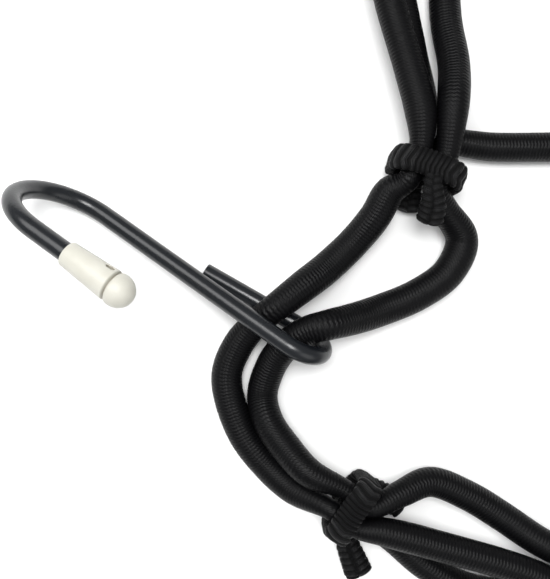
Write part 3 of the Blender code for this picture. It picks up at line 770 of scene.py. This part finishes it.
braidLooks = {
    "ridgePitch": 1.6,
    "ridgeLift": 0.8,
    "ridgeRound": 0.6,      # power: 1 rounds a ridge fully, and less makes its top flatter
    "ridgeSlant": 0.55,     # of a pitch, from the middle of the band to its edge
    "spineShift": 0.35,     # how far aside the slants may meet, for half of the depth
    "spineDip": 0.3,        # how deep the line is where they meet, for a ridge's lift
    "spineNarrow": 5,       # the line's half width goes this often into half of the depth
    "depthRound": 0.75,     # powers that square the band's section off
    "liftRound": 0.7,
    "swell": 0.25,          # how far a ridge stands out at the band's edge
    "pinch": 0.4,           # and how far a valley lies behind it
    "cornerCut": 0.6,       # what a corner takes off each of its sides, for the wall
    "stepsPerRidge": 8,
    "sectionSteps": 18,
    "tailPitch": 1.65,
    "tailLift": 0.33,       # for half of the tail's width
    "tailLevel": 0.6,       # share of a ridge's lift at which the tail has its own width
    "tailShift": 0.25,      # between its two columns, each way, for a pitch
    "tailSlant": 0.45,      # from the middle to the edge, for a pitch
    "tailEnd": 1.6,         # length over which its cut end is rounded
    "tailEndFlat": 0.02,    # square of the width left at the very end, as a share
    "tailStep": 0.25,
    "tailSides": 28,
    "dark": (0.0005, 0.0005, 0.0006, 1.0),
    "light": (0.0045, 0.0045, 0.005, 1.0),
    "shine": 0.2,
    "fluff": (1400.0, 4.0),
    "roughness": 0.34,
    "fluffRoughness": 0.2,
    "valleyRoughness": 0.4,
    "relief": 0.00025,
    "yarnRelief": 0.5,
    "fluffRelief": 0.5,
    "valleyDepthAndShade": 1.2,     # for both relief and the painted shade that darkens the valleys
    "yarnsAlong": 5.0,      # for a ridge
    "yarnsAround": 3.0,
    "shade": 0.75,          # the way from dark to light, and what is added to it
    "fluffShade": 0.5,
    "yarnShade": 0.2,
}


def braidFinish():
    braid = Finish("coarse braid", {"Specular IOR Level": braidLooks["shine"]})
    along, around = braid.uv("braid")
    fluff = braid.noise(braidLooks["fluff"], braid.place())
    valley = braid.wave(along * tau)
    yarns = along * braidLooks["yarnsAlong"] + around * braidLooks["yarnsAround"]
    yarn = braid.wave(yarns * tau)
    sunk = valley * braidLooks["valleyDepthAndShade"]
    raised = yarn * braidLooks["yarnRelief"] + fluff * braidLooks["fluffRelief"]
    braid.relief(raised - sunk, braidLooks["relief"])
    rough = braidLooks["roughness"] + fluff * braidLooks["fluffRoughness"]
    braid.roughness(rough + valley * braidLooks["valleyRoughness"])
    # The valleys between the ridges are darkened: painted shade. Fluff and yarn vary the braid's own
    # tone.
    shade = braidLooks["shade"] + fluff * braidLooks["fluffShade"]
    shade = shade + yarn * braidLooks["yarnShade"] - sunk
    braid.colour(braid.mixColours(shade, braidLooks["dark"], braidLooks["light"]))
    return braid.material


def roundedOutline(halfW, low, high, corner, count):
    # Even places round the space inside a tie, each with its outward direction
    wide, tall = 2 * (halfW - corner), high - low - 2 * corner
    arc = corner * pi / 2
    around = 2 * wide + 2 * tall + 4 * arc
    sides = (
        (wide, (-halfW + corner, low), (1, 0), 270.0),
        (tall, (halfW, low + corner), (0, 1), 0.0),
        (wide, (halfW - corner, high), (-1, 0), 90.0),
        (tall, (-halfW, high - corner), (0, -1), 180.0),
    )
    places = []
    for step in range(count):
        far = around * (step + 0.5) / count
        for length, start, way, facing in sides:
            if far <= length:
                across = start[0] + way[0] * far
                height = start[1] + way[1] * far
                places.append((across, height, radians(facing)))
                break
            far -= length
            if far <= arc:
                turn = radians(facing) + far / corner
                middleX = start[0] + way[0] * length - corner * cos(radians(facing))
                middleZ = start[1] + way[1] * length - corner * sin(radians(facing))
                across = middleX + corner * cos(turn)
                height = middleZ + corner * sin(turn)
                places.append((across, height, turn))
                break
            far -= arc
    return places


def insideHeight(tie):
    return tieSizes["low"] if tie.kind == "bare" else tieSizes["tall"]


def power(value, exponent):
    return copysign(abs(value) ** exponent, value)


def bandSection():
    # Share of half the band's depth, and share of its wall
    section = []
    for k in range(braidLooks["sectionSteps"]):
        angle = -tau * k / braidLooks["sectionSteps"]
        depth = power(cos(angle), braidLooks["depthRound"])
        lift = 0.5 + 0.5 * power(sin(angle), braidLooks["liftRound"])
        section.append((depth, lift))
    return section


def bandShell(tie, chance):
    halfW, wall = tie.half, tieSizes["wall"]
    top = wall + insideHeight(tie)
    halfD = tieSizes["depth"] / 2
    corners = 8 * braidLooks["cornerCut"] * wall
    ridges = round((4 * (halfW + wall) + 2 * (top + wall) - corners) / braidLooks["ridgePitch"])
    perRidge = braidLooks["stepsPerRidge"]
    places = roundedOutline(halfW, wall, top, tieSizes["corner"], ridges * perRidge)
    slant = braidLooks["ridgeSlant"] * chance.choice((-1, 1))
    spine = chance.uniform(-braidLooks["spineShift"], braidLooks["spineShift"])
    start = chance.random()
    section = bandSection()
    lean = start + slant * np.array([abs(depth - spine) for depth, _ in section])
    rings = []
    for i, (across, height, facing) in enumerate(places):
        ring = []
        for (depth, lift), phase in zip(section, i / perRidge + lean):
            valley = 1 - abs(sin(pi * phase)) ** braidLooks["ridgeRound"]
            line = max(0.0, 1 - abs(depth - spine) * braidLooks["spineNarrow"])
            sunk = valley + braidLooks["spineDip"] * line
            off = max(wall - braidLooks["ridgeLift"] * sunk, 0.0) * lift
            edge = halfD + braidLooks["swell"] - braidLooks["pinch"] * valley * abs(depth)
            left = across + off * cos(facing)
            arch = tie.tails * tieSizes["arch"] * (left / (halfW + wall)) ** 2
            z = max(height + off * sin(facing), tieSizes["offFloor"])
            ring.append(local(tie, depth * edge + arch, left, z, 0.0)[:3])
        rings.append(ring)

    def uvs(i, j):
        return np.stack([i / perRidge + lean[j % len(lean)], j / len(lean)], -1)

    return np.array(rings), uvs, True, False


def tailShell(tie, rows, hand, top, chance):
    points = []
    for row in rows:
        z = row.height if row.height > 0 else top + row.height
        place = local(tie, row.ahead * tie.tails, row.left * hand, z, 0.0)[:3]
        points.append((*place, row.wide, row.thick))
    route = np.array(smooth(points, False))
    far = wayAlong(route)
    count = round(far[-1] / braidLooks["tailStep"])
    step = far[-1] / count
    marks = np.linspace(0.0, far[-1], count + 1)
    even = np.stack([np.interp(marks, far, column) for column in route.T], 1)
    _, side, up = frames(even[:, :3], False)
    sides = braidLooks["tailSides"]
    turn = tau * np.arange(sides) / sides
    start = chance.random()
    # Two columns of slanting ridges, like an ear of wheat
    across = np.sin(turn)
    column = np.where(across > 0, 1.0, -1.0)
    inColumn = (np.abs(across) - 0.5) * 2
    lean = start + braidLooks["tailShift"] * column + braidLooks["tailSlant"] * np.abs(across)
    phase = marks[:, None] / braidLooks["tailPitch"] + lean
    columnRound = np.sqrt(np.clip(1 - inColumn ** 2, 0, 1)) ** braidLooks["ridgeRound"]
    ridge = columnRound * np.abs(np.sin(pi * phase)) ** braidLooks["ridgeRound"]
    left = (far[-1] - marks)[:, None] / braidLooks["tailEnd"]
    closing = 1 - np.clip(1 - left, 0, 1) ** 2
    endRound = np.sqrt(np.clip(closing, braidLooks["tailEndFlat"], 1))
    scale = (1 + braidLooks["tailLift"] * (ridge - braidLooks["tailLevel"])) * endRound
    wide, thick = even[:, 3:4], even[:, 4:5]
    flat = side[:, None] * (across[None, :] * wide / 2 * scale)[:, :, None]
    tall = up[:, None] * (np.cos(turn)[None, :] * thick / 2 * scale)[:, :, None]
    rings = even[:, None, :3] + flat + tall
    rings[:, :, 2] = np.maximum(rings[:, :, 2], tieSizes["offFloor"])

    def uvs(i, j):
        return np.stack([i * step / braidLooks["tailPitch"] + lean[j % sides], j / sides], -1)

    return rings, uvs, False, True


def tailShells(key, tie, chance):
    top = tieSizes["wall"] * 2 + insideHeight(tie)
    if key == "00":
        return [tailShell(tie, rows, 1, top, chance) for rows in cornerTails]
    if tie.kind == "bare":
        return [tailShell(tie, rows, tie.hand, top, chance) for rows in bareTails]
    low = crossLowTail if tie.kind == "cross" else lowTail
    return [tailShell(tie, rows, tie.hand, top, chance) for rows in (highTail, low)]


def makeTies():
    finish = braidFinish()
    for number, (key, tie) in enumerate(ties.items()):
        chance = Random(number)
        shells = [bandShell(tie, chance), *tailShells(key, tie, chance)]
        makePiece("braid_" + key, shells, finish, "braid", ["tie_" + key])
    print("ties made")


# Wire hooks

hookSizes = {
    "wire": 2.38,           # radius, coating included
    "eyeRadius": 7.48,      # of the bends, to the middle of the wire
    "mouthRadius": 14.8,
    "shank": 59.0,
    "mouthTurn": 180.8,
    "eyeTurn": 193.9,
    "shortArm": 29.3,
    "tipReach": 29.6,       # from the mouth's bend to the end of the cap
    "foot": Vector((2.74, -13.45, 16.36)),      # where the shank runs into the eye
    "yaw": 34.8,            # how the first hook lies, in degrees
    "pitch": -13.1,
    "roll": -21.3,
    "bendStep": 6.0,
    "cutEnd": ((0.0, 0.45), (0.12, 0.12), (0.5, 0.0)),      # from the end, less radius
    "sides": 28,
}
capSizes = {
    "long": 19.0,
    "bore": 11.0,
    "fit": 0.3,             # between the wire and the bore
    "boreEdge": 0.4,        # rounding at the mouth of the bore
    "endGap": 0.4,
    "grooveAlong": 13.35,   # middle of the groove, from the mouth
    "cutAlong": 11.0,       # middle of the cut in its side
    "cutLong": 1.2,         # half its length
    "cutTurn": 0.26,        # where it lies, in turns, and half its width
    "cutWide": 0.03,
    "cutDeep": 0.5,
    "cutSteep": 3,
    "cutRings": 15,
    "cutReach": 1.2,        # how far the close rings go, for half the cut's length
    "sides": 96,
}
wireLooks = {
    "dark": (0.0035, 0.0045, 0.006, 1.0),
    "light": (0.008, 0.0095, 0.012, 1.0),
    "shine": 0.5,
    "peel": (700.0, 2.0),
    "cloud": (60.0, 4.0),
    "roughness": 0.2,
    "cloudRoughness": 0.14,
    "relief": 0.00006,
    "reliefStrength": 0.6,
}
capLooks = {
    "dark": (0.5, 0.485, 0.415, 1.0),
    "light": (0.62, 0.61, 0.55, 1.0),
    # the colour of the painted shade in the cut and in the groove
    "paintedShade": (0.12, 0.1, 0.06, 1.0),
    "cutPaintedShade": 0.75,
    "groovePaintedShade": 0.8,
    "grooveFade": 2.2,      # how fast the painted shade at the groove fades, for a millimetre
    "cloud": (220.0, 4.0),
    "grain": (1500.0, 2.0),
    "roughness": 0.34,
    "cloudRoughness": 0.2,
    "grainRelief": 0.1,
    "relief": 0.0004,
    "reliefStrength": 0.6,
}


def wireFinish():
    coat = Finish("wire coating", {"Specular IOR Level": wireLooks["shine"]})
    where = coat.place()
    peel = coat.noise(wireLooks["peel"], where)
    cloud = coat.noise(wireLooks["cloud"], where)
    coat.relief(peel, wireLooks["relief"], wireLooks["reliefStrength"])
    coat.roughness(wireLooks["roughness"] + cloud * wireLooks["cloudRoughness"])
    coat.colour(coat.mixColours(cloud, wireLooks["dark"], wireLooks["light"]))
    return coat.material


def capFinish():
    plastic = Finish("cap plastic", {})
    along, around = plastic.uv("cap")
    where = plastic.place()
    cloud = plastic.noise(capLooks["cloud"], where)
    grain = plastic.noise(capLooks["grain"], where) * capLooks["grainRelief"]
    plastic.relief(grain, capLooks["relief"], capLooks["reliefStrength"])
    plastic.roughness(capLooks["roughness"] + cloud * capLooks["cloudRoughness"])
    # Painted shade: the colour is darkened in the short cut in the side and in the groove, where
    # shade falls
    off = (along - capSizes["cutAlong"]) * (1 / capSizes["cutLong"])
    aside = (around - capSizes["cutTurn"]) * (1 / capSizes["cutWide"])
    cut = plastic.maths("LESS_THAN", off * off + aside * aside, 1.0)
    beside = plastic.maths("ABSOLUTE", along - capSizes["grooveAlong"])
    groove = 1.0 - beside * capLooks["grooveFade"]
    paintedShade = plastic.maths("MAXIMUM", cut * capLooks["cutPaintedShade"], groove * capLooks["groovePaintedShade"])
    unshaded = plastic.mixColours(cloud, capLooks["dark"], capLooks["light"])
    plastic.colour(plastic.mixColours(paintedShade, unshaded, capLooks["paintedShade"]))
    return plastic.material


def hookAxes():
    # The first hook's way along its shank and, square to it, towards its mouth
    yaw, pitch, roll = (radians(hookSizes[angle]) for angle in ("yaw", "pitch", "roll"))
    along = Vector((-cos(pitch) * cos(yaw), cos(pitch) * sin(yaw), sin(pitch)))
    rise = (Vector((0, 0, 1)) - along * along.z).normalized()
    rise = rise * cos(roll) + along.cross(rise) * sin(roll)
    return along, rise


def bend(middle, radius, start, turn):
    # An even arc in the hook's own plane, from the start angle on, in degrees
    steps = ceil(turn / hookSizes["bendStep"])
    angles = [radians(start + turn * i / steps) for i in range(steps + 1)]
    return [(middle[0] + radius * cos(a), middle[1] + radius * sin(a)) for a in angles]


def onward(start, way, far):
    return start[0] + way[0] * far, start[1] + way[1] * far


def wireRoute():
    # In the hook's own plane, along the shank and towards the mouth: the wire from its short
    # arm on, where the cap starts, and which way the cap points
    eyeRadius, eyeTurn = hookSizes["eyeRadius"], hookSizes["eyeTurn"]
    mouthRadius, mouthTurn = hookSizes["mouthRadius"], hookSizes["mouthTurn"]
    eye = bend((0.0, -eyeRadius), eyeRadius, 90.0, eyeTurn)
    armWay = (-cos(radians(eyeTurn)), -sin(radians(eyeTurn)))
    mouth = bend((hookSizes["shank"], mouthRadius), mouthRadius, -90.0, mouthTurn)
    tipWay = (cos(radians(mouthTurn)), sin(radians(mouthTurn)))
    capMouth = hookSizes["tipReach"] - capSizes["long"]
    wireEnd = capMouth + capSizes["bore"] - capSizes["endGap"]
    armEnd = onward(eye[-1], armWay, hookSizes["shortArm"])
    tip = onward(mouth[-1], tipWay, wireEnd)
    return [armEnd, *eye[::-1], *mouth, tip], onward(mouth[-1], tipWay, capMouth), tipWay


def inSpace(flat, pose):
    # From the hook's own plane to the drawing frame
    along, rise = hookAxes()
    return Vector(moved(hookSizes["foot"] + along * flat[0] + rise * flat[1], pose))


def planeNormal(pose):
    foot = inSpace((0, 0), pose)
    along = inSpace((1, 0), pose) - foot
    rise = inSpace((0, 1), pose) - foot
    return along.cross(rise).normalized()


def makeWire(name, pose, finish, node):
    across = np.array([planeNormal(pose)])
    centres = np.array([inSpace(flat, pose) for flat in wireRoute()[0]])
    # The cut end is eased, and the other end is in the cap
    along, less = np.array(hookSizes["cutEnd"]).T
    tip = (centres[1] - centres[0]) / np.linalg.norm(centres[1] - centres[0])
    centres = np.vstack([centres[0] + tip * along[:, None], centres[1:]])
    radii = np.full(len(centres), hookSizes["wire"])
    radii[:len(less)] -= less
    way = frames(centres, False)[0]
    up = np.cross(across, way)
    sides = hookSizes["sides"]
    rings = roundRings(centres, across, up, radii, sides)

    def uvs(i, j):
        return np.stack([i / len(centres), j / sides], -1)

    makePiece(name, [(rings, uvs, False, True)], finish, "wire", [node])


# The outside of a cap, from its mouth to the end of its ball
capRing = namedtuple("capRing", "along radius")
capOutline = (
    capRing(0.0, 2.72),
    capRing(0.0, 2.95),
    capRing(0.25, 3.08),
    capRing(6.5, 3.46),
    capRing(12.5, 3.82),
    capRing(12.8, 3.83),
    capRing(13.0, 3.6),
    capRing(13.2, 3.25),
    capRing(13.5, 3.25),
    capRing(13.65, 3.6),
    capRing(13.9, 3.86),
    capRing(14.3, 3.98),
    capRing(15.0, 4.0),
    capRing(16.0, 3.86),
    capRing(17.0, 3.45),
    capRing(17.9, 2.75),
    capRing(18.5, 2.0),
    capRing(18.88, 1.1),
    capRing(19.0, 0.35),
)


def capProfile():
    # From inside the bore round the mouth to the ball, with close rings at the cut
    middle, reach = capSizes["cutAlong"], capSizes["cutLong"] * capSizes["cutReach"]
    outline = list(capOutline)
    last = next(k for k, row in enumerate(outline) if row.along > middle)
    before, after = outline[last - 1], outline[last]
    for along in np.linspace(middle + reach, middle - reach, capSizes["cutRings"]):
        radius = np.interp(along, (before.along, after.along), (before.radius, after.radius))
        outline.insert(last, capRing(along, radius))
    boreRadius = hookSizes["wire"] + capSizes["fit"]
    bore = [capRing(along, boreRadius) for along in (capSizes["bore"], capSizes["boreEdge"])]
    return [*bore, *outline]


def makeCap(name, pose, finish, node):
    _, mouth, wayFlat = wireRoute()
    start = inSpace(mouth, pose)
    way = (inSpace((mouth[0] + wayFlat[0], mouth[1] + wayFlat[1]), pose) - start).normalized()
    across = planeNormal(pose)
    up = np.array(across.cross(way))
    across, start, way = np.array(across), np.array(start), np.array(way)
    reach, radius = np.array(capProfile()).T
    sides = capSizes["sides"]
    turns = np.arange(sides) / sides
    out = across * np.sin(tau * turns)[:, None] + up * np.cos(tau * turns)[:, None]
    off = (reach - capSizes["cutAlong"])[:, None] / capSizes["cutLong"]
    aside = (turns - capSizes["cutTurn"])[None, :] / capSizes["cutWide"]
    sunk = np.clip(capSizes["cutSteep"] * (1 - off ** 2 - aside ** 2), 0, 1)
    # The first two rings are the bore, which the cut doesn't reach
    sunk[:2] = 0.0
    outward = radius[:, None] - capSizes["cutDeep"] * sunk
    rings = start + way * reach[:, None, None] + out * outward[:, :, None]

    def uvs(i, j):
        return np.stack([reach[i], j / sides], -1)

    makePiece(name, [(rings, uvs, False, True)], finish, "cap", [node])


def makeHooks():
    coat, plastic = wireFinish(), capFinish()
    hooked = [span for span in spans if span.hooked]
    for number, span in enumerate(hooked, 1):
        makeWire(f"wireHook_{number}", hookPose(span), coat, f"hook_{number}")
        makeCap(f"hookCap_{number}", hookPose(span), plastic, f"cap_{number}")
    print("hooks made")


# Floor, lights and camera

# Powers in watts, and sizes and places in metres
roomLight = namedtuple("roomLight", "name power size place")
roomLooks = {
    "floorSize": 3.0,
    "floorColour": (0.93, 0.93, 0.925, 1.0),
    "floorRoughness": 0.9,
    "skyColour": (0.98, 0.99, 1.0, 1.0),
    "skyStrength": 0.36,
    "lights": (
        roomLight("key", 8.0, 0.9, (-0.75, 0.35, 0.95)),
        roomLight("fill", 4.0, 1.2, (0.7, -0.8, 0.9)),
        roomLight("top", 10.0, 0.5, (-0.15, 0.1, 1.1)),
    ),
}
cameraLooks = {
    "height": 220.0,        # over the floor, straight above the drawing frame's zero
    "lens": 51.54,
    "sensor": 36.0,
    "nearest": 0.01,        # in metres
}


def makeFloor():
    mesh = bpy.data.meshes.new("floor")
    half = roomLooks["floorSize"] / 2
    corners = [(-half, -half, 0.0), (half, -half, 0.0), (half, half, 0.0), (-half, half, 0.0)]
    mesh.from_pydata(corners, [], [(0, 1, 2, 3)])
    floor = bpy.data.objects.new("floor", mesh)
    bpy.context.scene.collection.objects.link(floor)
    looks = {"Base Color": roomLooks["floorColour"], "Roughness": roomLooks["floorRoughness"]}
    mesh.materials.append(Finish("floor paper", looks).material)


def makeLight(look):
    # Aimed at the place under the camera
    lamp = bpy.data.lights.new(look.name, "AREA")
    lamp.shape = "DISK"
    lamp.size = look.size
    lamp.energy = look.power
    light = bpy.data.objects.new(look.name, lamp)
    light.location = look.place
    aim = netPlace * mm - light.location
    light.rotation_euler = aim.to_track_quat("-Z", "Y").to_euler()
    bpy.context.scene.collection.objects.link(light)


def makeRoom():
    makeFloor()
    for look in roomLooks["lights"]:
        makeLight(look)
    world = bpy.data.worlds.new("sky")
    world.use_nodes = True
    sky = world.node_tree.nodes["Background"]
    sky.inputs["Color"].default_value = roomLooks["skyColour"]
    sky.inputs["Strength"].default_value = roomLooks["skyStrength"]
    bpy.context.scene.world = world
    bpy.context.scene.view_settings.view_transform = "Standard"
    print("floor and lights made")


def makeCamera():
    lens = bpy.data.cameras.new("camera")
    lens.sensor_width = cameraLooks["sensor"]
    lens.lens = cameraLooks["lens"]
    lens.clip_start = cameraLooks["nearest"]
    camera = bpy.data.objects.new("camera", lens)
    camera.location = (netPlace + Vector((0.0, 0.0, cameraLooks["height"]))) * mm
    bpy.context.scene.collection.objects.link(camera)
    bpy.context.scene.camera = camera


makeCamera()
makeCords()
makeTies()
makeHooks()
makeRoom()
